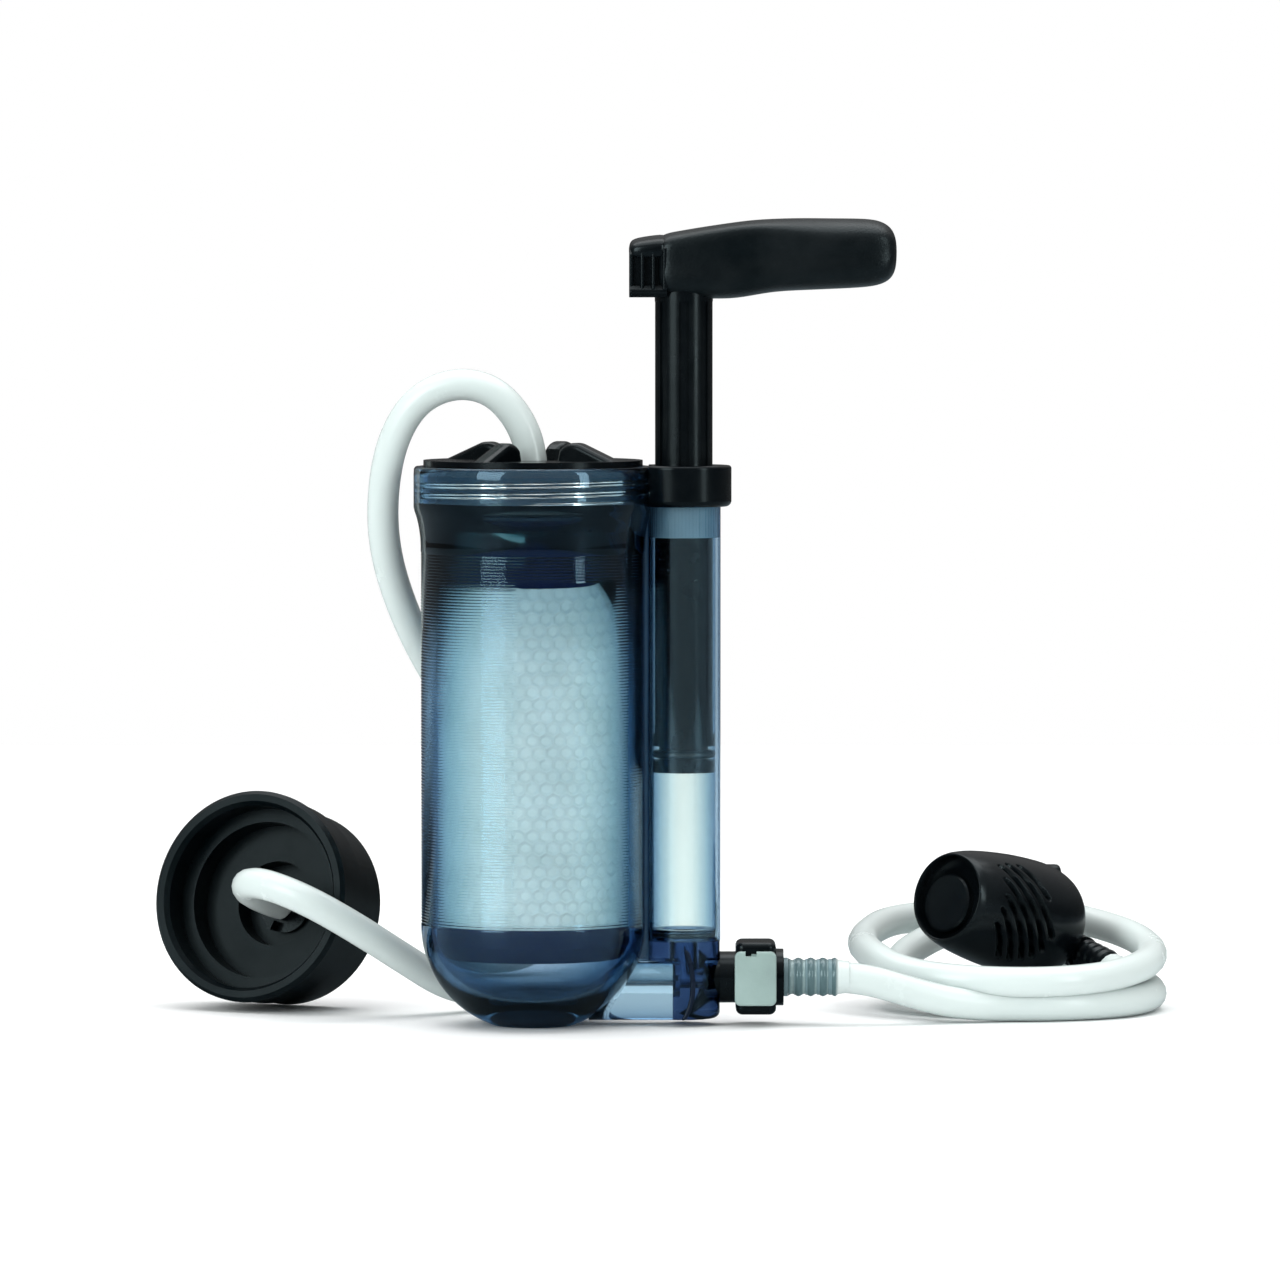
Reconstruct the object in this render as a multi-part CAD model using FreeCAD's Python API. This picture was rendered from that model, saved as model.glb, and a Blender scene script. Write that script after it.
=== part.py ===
"""Hand-pumped water filter with its intake hose, prefilter, outlet hose and bottle adapter.

Millimetres. +Z is up, +X runs from the housing's axis to the pump's axis, and the origin is on the
floor under the housing's axis. Each sub-part is one shape, written to parts/NAME.step.
"""
import FreeCAD, Part
import math
import os

V = FreeCAD.Vector
X, Y, Z = V(1, 0, 0), V(0, 1, 0), V(0, 0, 1)

# Filter housing
BODY_R = 28.4            # outside of the ribbed body
BODY_WALL = 2.2
BODY_TOP = 121.5         # where the body starts to widen into the neck
DOME_TOP = 25.5          # where the domed base meets the straight body
DOME_BEND = 26.8         # radius of the dome's profile, cut flat at the floor
DOME_INNER_BEND = 20.5
NECK_R = 30.2
NECK_BORE_R = 28.0       # threaded bore
SEAL_BORE_R = 26.95      # smooth bore for the cap's seal, under the thread
SEAL_BORE_TOP = 132.3
NECK_FLOOR = 125.5       # ledge under the cap's skirt
NECK_START = 130.8       # lowest point of the neck's straight outside
NECK_TOP = 141.4

# Screw thread of the cap
PITCH = 2.5
THREAD_ROOT = 0.55       # half width of a ridge where it leaves its wall
THREAD_TIP = 0.30        # half width of a ridge at its crest
THREAD_DEPTH = 0.95
MALE_START, MALE_TURNS = 134.15, 1.3
FEMALE_START, FEMALE_TURNS = MALE_START - PITCH / 2, 2.0

# Cap
CAP_R = 27.7
CAP_TOP = 143.0
SKIRT_R = 26.7
SKIRT_WALL = 2.2
SKIRT_STEP = 132.7       # below this the skirt is narrower and carries the seal
SKIRT_BOTTOM = 128.4
SEAL_SECTION = 1.1       # radius of the seal's section
CAP_HOLE_R = 6.95
LUG_HEIGHT = 4.3
LUG_WIDTH = 5.0
LUG_EDGE = 1.5           # rounding of a lug's long edges
LUG_ANGLES = [58, 148, 238, 328]

# Cartridge
CART_R = 24.4
CART_BOTTOM, CART_CAP_BOTTOM = 17.6, 25.5
CART_CAP_TOP, CART_TOP = 110.8, 125.4
PLEATS = 36

# Pump
PUMP_X = 38.05
CYL_R, BORE_R = 9.3, 8.1
CYL_BOTTOM, CYL_TOP = 21.5, 139.0
SHAFT_R = 7.35
SHAFT_TOP = 192.0
FLUTES, FLUTE_WIDTH, FLUTE_DEPTH = 8, 2.4, 0.6
BUSH_BOTTOM = 123.5
COLLAR_R, COLLAR_BOTTOM, COLLAR_TOP = 12.05, 131.3, 141.7
PISTON_BOTTOM, GROOVE_LOW, GROOVE_HIGH, FLANGE_TOP = 64.2, 67.3, 70.9, 73.9

# Base: duct, valve block and quick coupler share one horizontal axis
PORT_Z = 12.1
PORT_R = 2.6
DUCT_END = 35.3
BLOCK_R, BLOCK_BOTTOM = 9.15, 1.8
SHELF_BOTTOM = 16.6      # underside of the block where it spans to the housing

# Quick coupler
NECK_END, LATCH_END, FLANGE_END = 51.2, 61.4, 63.3
COUPLER_HALF_HEIGHT = 9.2
INSERT_R = 4.0
PLATE_START = 50.9       # thumb plate's end towards the pump
LATCH_STROKE = 1.5

# Handle
GRIP_START, GRIP_END = 33.6, 91.6

# Hoses: 5/16 inch outside
HOSE_D = 7.9
HOSE_R = HOSE_D / 2

# Intake coil: two turns, the upper one higher at the back
COIL_X, COIL_Y = 122.0, 45.0
COIL_RADIUS = 37.4       # middle of the hose
COIL_INNER_RADIUS = 29.5 # middle of the inner strand
COIL_FRONT_TOP, COIL_BACK_TOP = 15.2, 27.5

# Bottle adapter: its frame has +Z out of the mouth and its origin at the rim's centre
ADAPTER_AT = V(-73.8, 35.6, 29.9)
ADAPTER_FACES = V(-0.42, -0.885, 0.20)
ADAPTER_RIM_R, ADAPTER_BARREL_R, ADAPTER_BACK_R = 27.4, 26.4, 25.2
ADAPTER_DEPTH = 27.0
HUB_DEPTH = 22.0         # floor of the well that holds the hub

# Prefilter: its frame has +Z out of the mouth and its origin at the mouth's centre
PREFILTER_AT = V(105.8, 32.0, 29.9)
PREFILTER_FACES = V(-0.685, -0.69, 0.234)
PREFILTER_LENGTH = 43.5
RECESS_R, RECESS_DEPTH = 10.8, 4.6
DISC_R = 7.6
DISC_OFFSET = (-2.5, 0.8)   # the disc stands off the axis, low on one side
SLOT_START, SLOT_PITCH, SLOT_WIDTH = -8.4, 3.7, 2.2
SLOT_ANGLES = [(-105, -68), (-114, -48), (-110, -35), (-105, -19), (-92, -4), (-71, -2), (-34, -4)]
BARB_ROOT = V(141.5, 55.0, 13.5)
BARB_POINTS = V(0.5, -0.84, -0.2)
BARB_LENGTH = 15.0

GAP = 0.05               # radial running clearance

parts = {}


# ---- shape helpers -------------------------------------------------------------------------

def revolve(outline, angle=360.0):
    """A solid of revolution about Z. outline is (radius, height) corners, or ready edges."""
    if isinstance(outline[0], tuple):
        points = [V(r, 0, z) for r, z in outline]
        wire = Part.makePolygon(points + [points[0]])
    else:
        wire = Part.Wire(outline)
    return Part.Face(wire).revolve(V(0, 0, 0), Z, angle)


def rod(radius, low, high, x=0.0, y=0.0):
    return Part.makeCylinder(radius, high - low, V(x, y, low), Z)


def ring(outer, inner, low, high, x=0.0, y=0.0):
    return rod(outer, low, high, x, y).cut(rod(inner, low - 1, high + 1, x, y))


def rod_x(radius, start, end, y=0.0, z=PORT_Z):
    return Part.makeCylinder(radius, end - start, V(start, y, z), X)


def box(low, high):
    size = V(*high) - V(*low)
    return Part.makeBox(size.x, size.y, size.z, V(*low))


def torus(centre_radius, section_radius, z, x=0.0):
    return Part.makeTorus(centre_radius, section_radius, V(x, 0, z), Z)


def rounded(shape, radius, pick):
    """Fillet the edges that pick(edge) accepts."""
    edges = [edge for edge in shape.Edges if pick(edge)]
    return shape.makeFillet(radius, edges)


def placed(shape, at, faces):
    """Move a shape from its own frame (+Z out of its mouth) to its place."""
    moved = shape.copy()
    moved.Placement = FreeCAD.Placement(at, FreeCAD.Rotation(Z, faces)).multiply(moved.Placement)
    return moved


def thread_ridge(wall_radius, inward, start, turns):
    """One helical ridge of trapezoid section, sunk a little into the wall that carries it."""
    side = -1 if inward else 1
    sink, crest = wall_radius - side * 0.35, wall_radius + side * THREAD_DEPTH
    corners = [V(sink, 0, start - THREAD_ROOT), V(crest, 0, start - THREAD_TIP),
               V(crest, 0, start + THREAD_TIP), V(sink, 0, start + THREAD_ROOT)]
    profile = Part.makePolygon(corners + [corners[0]])
    helix = Part.makeHelix(PITCH, PITCH * turns, wall_radius)
    helix.translate(V(0, 0, start))
    return Part.Wire(helix.Edges).makePipeShell([profile], True, True)


def hose(points, name, radius=HOSE_R):
    """Straight runs joined by tangent arcs, each as large as its two runs allow."""
    corners = [V(*p) for p in points]
    edges, radii = [], []
    here = corners[0]
    for before, corner, after in zip(corners, corners[1:], corners[2:]):
        back, ahead = (before - corner), (after - corner)
        shorter = min(back.Length, ahead.Length)
        back.normalize()
        ahead.normalize()
        turn = math.pi - back.getAngle(ahead)
        arc_radius = 0.45 * shorter / math.tan(turn / 2)
        arc_in, arc_out = corner + back * 0.45 * shorter, corner + ahead * 0.45 * shorter
        inward = (back + ahead).normalize()
        centre = corner + inward * (arc_radius / math.cos(turn / 2))
        middle = centre - inward * arc_radius
        edges.append(Part.LineSegment(here, arc_in).toShape())
        edges.append(Part.Arc(arc_in, middle, arc_out).toShape())
        radii.append(arc_radius)
        here = arc_out
    edges.append(Part.LineSegment(here, corners[-1]).toShape())
    path = Part.Wire(edges)
    start = corners[1] - corners[0]
    section = Part.Wire(Part.makeCircle(radius, corners[0], start))
    tube = path.makePipeShell([section], True, False)
    expected = math.pi * radius ** 2 * path.Length
    print(f"{name}: length {path.Length:.1f} mm, radii {[round(r, 1) for r in radii]}, "
          f"volume {tube.Volume:.0f} of {expected:.0f} mm3")
    return tube


def save_all():
    os.makedirs("parts", exist_ok=True)
    for name, shape in parts.items():
        if not shape.isValid() or not shape.Solids:
            print("INVALID", name)
        shape.exportStep(f"parts/{name}.step")
        print(f"{name}: {len(shape.Solids)} solid, {shape.Volume:.0f} mm3")


# ---- filter housing ------------------------------------------------------------------------

def line(a, b):
    return Part.LineSegment(a, b).toShape()


def dome_envelope(radius, bend, low):
    """Solid with a domed bottom, flat at height low, and straight sides to the top of the body."""
    centre = V(radius - bend, 0, DOME_TOP)
    last = math.asin((DOME_TOP - low) / bend)
    start, middle, end = [centre + V(math.cos(a), 0, -math.sin(a)) * bend for a in (0, last / 2, last)]
    edges = [Part.Arc(start, middle, end).toShape(), line(end, V(0, 0, low)),
             line(V(0, 0, low), V(0, 0, BODY_TOP)), line(V(0, 0, BODY_TOP), V(radius, 0, BODY_TOP)),
             line(V(radius, 0, BODY_TOP), start)]
    return revolve(edges)


def make_housing():
    body_bore = BODY_R - BODY_WALL
    outside = dome_envelope(BODY_R, DOME_BEND, 0.0)
    widening = Part.Arc(V(BODY_R, 0, BODY_TOP), V(28.9, 0, 126.6), V(NECK_R, 0, NECK_START)).toShape()
    neck = revolve([widening, line(V(NECK_R, 0, NECK_START), V(NECK_R, 0, NECK_TOP)),
                    line(V(NECK_R, 0, NECK_TOP), V(0, 0, NECK_TOP)),
                    line(V(0, 0, NECK_TOP), V(0, 0, BODY_TOP)),
                    line(V(0, 0, BODY_TOP), V(BODY_R, 0, BODY_TOP))])
    cavity = dome_envelope(body_bore, DOME_INNER_BEND, DOME_TOP - DOME_INNER_BEND)
    cavity = cavity.fuse(rod(body_bore, BODY_TOP, NECK_FLOOR))
    cavity = cavity.fuse(rod(SEAL_BORE_R, NECK_FLOOR, SEAL_BORE_TOP))
    cavity = cavity.fuse(rod(NECK_BORE_R, SEAL_BORE_TOP, NECK_TOP + 1))
    shell = outside.fuse(neck).cut(cavity)
    shell.rotate(V(0, 0, 0), Z, 90)  # keeps the surfaces' seams away from the port and the pump
    shell = shell.fuse(thread_ridge(NECK_BORE_R, True, FEMALE_START, FEMALE_TURNS))
    shell = shell.cut(rod(CYL_R + GAP, 100, NECK_TOP + 1, PUMP_X))
    shell = shell.cut(rod_x(PORT_R, 10, BODY_R + 2))
    parts["filter_housing"] = shell.removeSplitter()


def make_cap():
    """Flat disc with a threaded skirt, a central boss for the outlet and four grip lugs."""
    shape = ring(CAP_R, CAP_HOLE_R, NECK_TOP, CAP_TOP)
    shape = shape.fuse(ring(SKIRT_R, SKIRT_R - SKIRT_WALL, SKIRT_BOTTOM, NECK_TOP))
    shape = shape.fuse(ring(CAP_HOLE_R + 2.2, CAP_HOLE_R, SKIRT_BOTTOM, NECK_TOP))
    plug_r = SEAL_BORE_R - 0.6
    groove_r = SEAL_BORE_R - 0.02 - 2 * SEAL_SECTION
    groove_low = SKIRT_BOTTOM + 0.8
    shape = shape.cut(ring(SKIRT_R + 1, plug_r, SKIRT_BOTTOM - 1, SKIRT_STEP))
    shape = shape.cut(ring(SKIRT_R + 1, groove_r - 0.02, groove_low, groove_low + 2.4 * SEAL_SECTION))
    shape = shape.fuse(ring(groove_r - 0.02, SKIRT_R - SKIRT_WALL - 1.4, SKIRT_BOTTOM, SKIRT_STEP + 1.5))
    shape = shape.fuse(thread_ridge(SKIRT_R, False, MALE_START, MALE_TURNS))
    for angle in LUG_ANGLES:
        foot, outer_foot = V(8.2, 0, CAP_TOP - 0.3), V(26.0, 0, CAP_TOP - 0.3)
        inner_end, outer_end = V(8.9, 0, CAP_TOP + 2.6), V(15.4, 0, CAP_TOP + LUG_HEIGHT - 0.3)
        crest = Part.Arc(inner_end, V(11.6, 0, CAP_TOP + LUG_HEIGHT), outer_end).toShape()
        outline = [crest, line(outer_end, outer_foot), line(outer_foot, foot), line(foot, inner_end)]
        lug = Part.Face(Part.Wire(outline)).extrude(V(0, LUG_WIDTH, 0))
        lug.translate(V(0, -LUG_WIDTH / 2, 0))
        lug = rounded(lug, LUG_EDGE, lambda e: e.BoundBox.YLength < 0.01 and e.BoundBox.ZMax > CAP_TOP + 0.5)
        lug.rotate(V(0, 0, 0), Z, angle)
        shape = shape.fuse(lug)
    parts["housing_cap"] = shape.removeSplitter()
    parts["cap_seal"] = torus(groove_r + SEAL_SECTION, SEAL_SECTION, groove_low + 1.2 * SEAL_SECTION)


def make_cartridge():
    parts["cartridge_bottom_cap"] = revolve([
        (0, CART_BOTTOM), (CART_R - 1.4, CART_BOTTOM), (CART_R, CART_BOTTOM + 3.6),
        (CART_R, CART_CAP_BOTTOM), (0, CART_CAP_BOTTOM)])
    top = rod(CART_R, CART_CAP_TOP, CART_TOP - 1.5).fuse(rod(CART_R - 3, CART_TOP - 1.5, CART_TOP))
    parts["cartridge_top_cap"] = top.cut(rod(PORT_R, CART_CAP_TOP - 1, CART_TOP + 1)).removeSplitter()
    low, high = CART_CAP_BOTTOM, CART_CAP_TOP
    parts["mesh_sleeve"] = ring(CART_R - 0.2, CART_R - 0.9, low, high)
    outer, inner = CART_R - 1.0, 15.4
    star = []
    for i in range(PLEATS * 2):
        angle = math.pi * i / PLEATS
        reach = outer if i % 2 == 0 else inner + 1.4
        star.append(V(reach * math.cos(angle), reach * math.sin(angle), low))
    pleats = Part.Face(Part.makePolygon(star + [star[0]])).extrude(V(0, 0, high - low))
    parts["pleated_media"] = pleats.cut(rod(inner, low - 1, high + 1))
    parts["carbon_core"] = ring(15.2, 5.6, low, high)
    core = ring(5.5, 4.3, low, high)
    for level in range(8):
        for direction in (X, Y):
            hole = Part.makeCylinder(1.2, 14, V(0, 0, low + 6 + level * 10.6) - direction * 7, direction)
            core = core.cut(hole)
    parts["core_tube"] = core


def make_outlet_stem():
    """Spigot that seals in the cap's boss, then a barb for the outlet hose."""
    profile = [(1.8, CART_TOP), (9.0, CART_TOP), (9.0, CART_TOP + 1.5), (6.0, CART_TOP + 3.0),
               (6.0, 129.4), (5.0, 129.4), (5.0, 131.6), (6.0, 131.6), (6.0, 134.0), (2.5, 134.0)]
    for tooth in range(3):
        base = 135.6 + tooth * 2.6
        profile += [(2.5, base), (3.1, base), (2.5, base + 2.0)]
    profile += [(2.5, 144.0), (1.8, 144.0)]
    parts["outlet_stem"] = revolve(profile)
    parts["stem_o_ring"] = torus(5.92, 0.90, 130.5)


# ---- pump ----------------------------------------------------------------------------------

def make_pump_body():
    parts["pump_cylinder"] = ring(CYL_R, BORE_R, CYL_BOTTOM, CYL_TOP, PUMP_X)
    bush = ring(BORE_R, SHAFT_R + GAP, BUSH_BOTTOM, CYL_TOP, PUMP_X)
    parts["guide_bush"] = bush.fuse(ring(CYL_R, SHAFT_R + GAP, CYL_TOP, CYL_TOP + 1.0, PUMP_X)).removeSplitter()
    collar = rod(COLLAR_R, COLLAR_BOTTOM, COLLAR_TOP, PUMP_X)
    collar = rounded(collar, 1.5, lambda e: e.BoundBox.ZMax < COLLAR_BOTTOM + 0.1 and len(e.Vertexes) == 1)
    collar = rounded(collar, 0.8, lambda e: e.BoundBox.ZMin > COLLAR_TOP - 0.1 and len(e.Vertexes) == 1)
    web = box((24.0, -7.0, 133.4), (PUMP_X, 7.0, COLLAR_TOP))
    collar = collar.fuse(web)
    collar = collar.cut(rod(CYL_R, COLLAR_BOTTOM - 1, CYL_TOP + 1.0, PUMP_X))
    collar = collar.cut(rod(SHAFT_R + 4 * GAP, CYL_TOP, COLLAR_TOP + 1, PUMP_X))
    collar = collar.cut(rod(NECK_R, COLLAR_BOTTOM - 1, COLLAR_TOP + 1))
    parts["cylinder_collar"] = collar.removeSplitter()


def make_plunger():
    """Fluted tube with a plugged piston at its foot. The flutes stop short of the piston."""
    shaft = ring(SHAFT_R, 5.2, FLANGE_TOP, SHAFT_TOP, PUMP_X)
    for i in range(FLUTES):
        groove = box((SHAFT_R - FLUTE_DEPTH, -FLUTE_WIDTH / 2, FLANGE_TOP + 4), (SHAFT_R + 1, FLUTE_WIDTH / 2, 183))
        groove.rotate(V(0, 0, 0), Z, 360 / FLUTES * i)
        groove.translate(V(PUMP_X, 0, 0))
        shaft = shaft.cut(groove)
    parts["pump_shaft"] = shaft
    head = revolve([(0, PISTON_BOTTOM), (BORE_R - 0.25, PISTON_BOTTOM), (BORE_R - 0.25, GROOVE_LOW),
                    (6.2, GROOVE_LOW), (6.2, GROOVE_HIGH), (BORE_R - 0.08, GROOVE_HIGH),
                    (BORE_R - 0.08, FLANGE_TOP), (5.2, FLANGE_TOP), (5.2, FLANGE_TOP + 9), (0, FLANGE_TOP + 9)])
    head.translate(V(PUMP_X, 0, 0))
    parts["piston_head"] = head
    section = (BORE_R - 0.02 - 6.22) / 2
    parts["piston_o_ring"] = torus(6.22 + section, section, GROOVE_LOW + 1.5, PUMP_X)


def grip_section(x, low, high, half_width, corner):
    """Rounded rectangle across the handle at x, as one closed wire of eight edges."""
    y, r, k = half_width, corner, corner * (1 - math.sqrt(0.5))
    spots = [(-y + r, low), (y - r, low), (y, low + r), (y, high - r),
             (y - r, high), (-y + r, high), (-y, high - r), (-y, low + r)]
    bends = [(y - k, low + k), (y - k, high - k), (-y + k, high - k), (-y + k, low + k)]
    spots = [V(x, a, b) for a, b in spots]
    bends = [V(x, a, b) for a, b in bends]
    edges = []
    for i in range(4):
        edges.append(line(spots[2 * i], spots[2 * i + 1]))
        edges.append(Part.Arc(spots[2 * i + 1], bends[i], spots[(2 * i + 2) % 8]).toShape())
    return Part.Wire(edges)


def make_handle():
    """Ribbed end block with a spine and socket, and the thick grip moulded round the spine."""
    stations = [(GRIP_START, 184.0, 200.2, 8.6, 5.0), (46.0, 184.0, 202.3, 9.0, 5.4),
                (56.0, 184.7, 203.5, 9.2, 5.8), (66.0, 185.6, 204.0, 9.2, 6.2),
                (78.0, 186.0, 204.4, 9.3, 6.4), (86.0, 186.6, 203.9, 9.0, 6.6),
                (90.2, 188.9, 201.9, 7.4, 5.8), (GRIP_END, 192.0, 199.4, 4.2, 3.4)]
    grip = Part.makeLoft([grip_section(*s) for s in stations], True, False)
    end = Part.makeLoft([grip_section(24.1, 185.6, 195.6, 6.6, 3.2), grip_section(26.4, 184.2, 198.0, 7.8, 4.2),
                         grip_section(GRIP_START, 184.0, 200.2, 8.6, 5.0)], True, False)
    for x in (26.2, 28.4, 30.6):
        for side in (-1, 1):
            low_y, high_y = sorted((side * 6.9, side * 10.0))
            end = end.cut(box((x, low_y, 187.0), (x + 1.1, high_y, 196.2)))
    spine = box((GRIP_START, -3.0, 189.5), (84.0, 3.0, 198.0))
    socket = rod(SHAFT_R + 1.5, 186.0, 196.0, PUMP_X)
    core = end.fuse(spine).fuse(socket)
    grip = grip.cut(spine).cut(socket).cut(rod(SHAFT_R, 180, 186.5, PUMP_X))
    core = core.cut(rod(SHAFT_R, 180, SHAFT_TOP, PUMP_X))
    parts["handle_core"] = core.removeSplitter()
    parts["handle_grip"] = grip


# ---- base ----------------------------------------------------------------------------------

def make_base():
    """Valve block under the cylinder, with a shelf towards the housing and a clear duct below it."""
    block = rod(BLOCK_R, BLOCK_BOTTOM, CYL_BOTTOM, PUMP_X)
    block = rounded(block, 1.8, lambda e: e.BoundBox.ZMax < BLOCK_BOTTOM + 0.1 and len(e.Vertexes) == 1)
    block = block.cut(box((20, -12, 0), (DUCT_END, 12, SHELF_BOTTOM)))
    spigot = ring(BORE_R - 0.02, BORE_R - 2.6, CYL_BOTTOM, CYL_BOTTOM + 3.0, PUMP_X)
    groove = ring(BORE_R + 1, BORE_R - 1.3, CYL_BOTTOM + 0.9, CYL_BOTTOM + 2.3, PUMP_X)
    block = block.fuse(spigot.cut(groove))
    block = block.cut(rod(PORT_R, PORT_Z, CYL_BOTTOM + 4, PUMP_X))
    block = block.cut(rod_x(PORT_R, DUCT_END - 1, 48))
    block = block.cut(rod_x(5.0, 42.4, 48)).cut(rod_x(5.0, DUCT_END - 1, DUCT_END + 2.0))
    parts["valve_block"] = block.removeSplitter()
    section = 0.62
    parts["block_o_ring"] = torus(BORE_R - 0.02 - section, section, CYL_BOTTOM + 1.6, PUMP_X)
    duct = rod_x(7.7, 14, DUCT_END, z=8.9).cut(rod_x(PORT_R, 10, 40))
    outside = dome_envelope(BODY_R, DOME_BEND, 0.0)
    parts["base_duct"] = duct.cut(outside)
    for name, x in (("outlet_valve", DUCT_END + 0.1), ("inlet_valve", 42.5)):
        disc = rod_x(4.9, x, x + 0.9).fuse(rod_x(1.1, x, x + 1.8))
        parts[name] = disc.removeSplitter()


def make_coupler():
    """Quick coupler: body, spring-loaded thumb latch and the barbed insert it holds."""
    half, front, back = COUPLER_HALF_HEIGHT, -5.8, 8.6
    neck = rod_x(6.5, 47.2, NECK_END + 0.5).fuse(rod_x(4.95, 44.4, 47.2))
    pressed_plate_room = box((PLATE_START - 0.3, -10, 0), (NECK_END + 1, front - GAP, 30))
    neck = neck.cut(pressed_plate_room)
    case = box((NECK_END, front, PORT_Z - half), (LATCH_END, back, PORT_Z + half))
    case = rounded(case, 2.2, lambda e: e.BoundBox.YLength < 0.1 and e.BoundBox.XLength < 0.1)
    case = rounded(case, 1.6, lambda e: e.BoundBox.ZLength < 0.1 and e.BoundBox.YLength > 5)
    body = neck.fuse(case).fuse(rod_x(7.2, LATCH_END, FLANGE_END))
    body = body.cut(rod_x(INSERT_R + GAP, 48.0, 65)).cut(rod_x(PORT_R, 40, 50))
    slot = box((54.9, front - 1, PORT_Z - 6.5), (57.1, 7.4, PORT_Z + 6.5))
    parts["coupler_body"] = body.cut(slot).removeSplitter()
    plate = box((PLATE_START, -9.0, PORT_Z - 6.6), (LATCH_END, -7.4, PORT_Z + 7.1))
    plate = rounded(plate, 1.5, lambda e: abs(e.BoundBox.YLength - 1.6) < 0.01)
    plate = rounded(plate, 0.5, lambda e: e.BoundBox.YMax < -8.9)
    blade = box((55.1, -7.5, PORT_Z - 6.3), (56.9, 4.9, PORT_Z + 6.3))
    window = rod_x(INSERT_R + 0.5, 54, 58).fuse(rod_x(INSERT_R + 0.5, 54, 58, y=-LATCH_STROKE))
    window = window.fuse(box((54, -LATCH_STROKE, PORT_Z - INSERT_R - 0.5), (58, 0, PORT_Z + INSERT_R + 0.5)))
    notch = box((53.6, -10, PORT_Z + 5.9), (56.4, -7.0, PORT_Z + 8))
    parts["coupler_latch"] = plate.cut(notch).fuse(blade).cut(window).removeSplitter()
    spring = Part.makeHelix(0.8, 2.2, 0.55)
    wire = Part.Wire(Part.makeCircle(0.16, V(0.55, 0, 0), Y))
    coil = Part.Wire(spring.Edges).makePipeShell([wire], True, True)
    coil.rotate(V(0, 0, 0), X, -90)
    coil.translate(V(56.0, 5.08, PORT_Z))
    parts["latch_spring"] = coil
    profile = [(PORT_R, 48.6), (INSERT_R, 48.6), (INSERT_R, 50.4), (3.2, 50.4), (3.2, 52.0), (INSERT_R, 52.0),
               (INSERT_R, FLANGE_END + 0.1), (4.9, FLANGE_END + 0.1), (4.9, 64.4), (3.9, 64.4)]
    for tooth in range(4):
        base = 65.4 + tooth * 2.9
        profile += [(3.9, base), (4.55, base + 0.7), (4.55, base + 1.4), (3.9, base + 2.1)]
    profile += [(3.9, 77.0), (PORT_R, 77.0)]
    insert = revolve(profile)
    insert.rotate(V(0, 0, 0), Y, 90)
    insert.translate(V(0, 0, PORT_Z))
    parts["coupler_insert"] = insert
    o_ring = torus(3.6, 0.38, 51.2)
    o_ring.rotate(V(0, 0, 0), Y, 90)
    o_ring.translate(V(0, 0, PORT_Z))
    parts["insert_o_ring"] = o_ring


# ---- hoses ---------------------------------------------------------------------------------

INTAKE_ROUTE = [(77.0, 0.0, PORT_Z), (84.0, 0.0, 11.6), (92.0, 0.6, 9.3), (101.0, 2.2, 6.4),
                (110.0, 4.6, 4.6), (119.0, 7.2, 4.1), (128.0, 8.4, 4.0)]
INTAKE_SPLIT_X = 96.5    # middle of a straight run, where the lead-in ends and the coil begins

TAIL_ROUTE = [(124.0, 15.6, 4.2), (133.0, 16.6, 4.9), (142.5, 20.4, 6.2), (149.6, 27.0, 7.6),
              (152.2, 35.0, 9.0)]

OUTLET_ROUTE = [(0.0, 0.0, 134.0), (0.0, 0.0, 144.0), (-3.4, 0.4, 153.6), (-10.4, 1.0, 161.0),
                (-20.0, 2.0, 162.6), (-29.6, 3.4, 158.2), (-35.8, 5.4, 148.0), (-38.4, 8.4, 134.0),
                (-38.0, 13.0, 120.0), (-34.2, 19.4, 106.0), (-28.2, 27.2, 92.0), (-20.8, 33.8, 80.0),
                (-12.8, 39.4, 69.0), (-4.6, 44.2, 59.2), (2.6, 48.4, 49.4), (7.8, 51.3, 38.0),
                (8.6, 51.8, 26.0), (4.3, 48.9, 15.3), (-3.4, 43.6, 7.7), (-13.0, 37.0, 4.8),
                (-23.0, 30.2, 7.4), (-33.2, 22.6, 14.6),
                (-44.6, 16.8, 22.6), (-57.4, 15.0, 30.2), (-69.0, 20.0, 34.4), (-74.8, 30.0, 33.4),
                (-72.6, 42.0, 29.4), (-66.2, 51.6, 26.3)]


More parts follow.
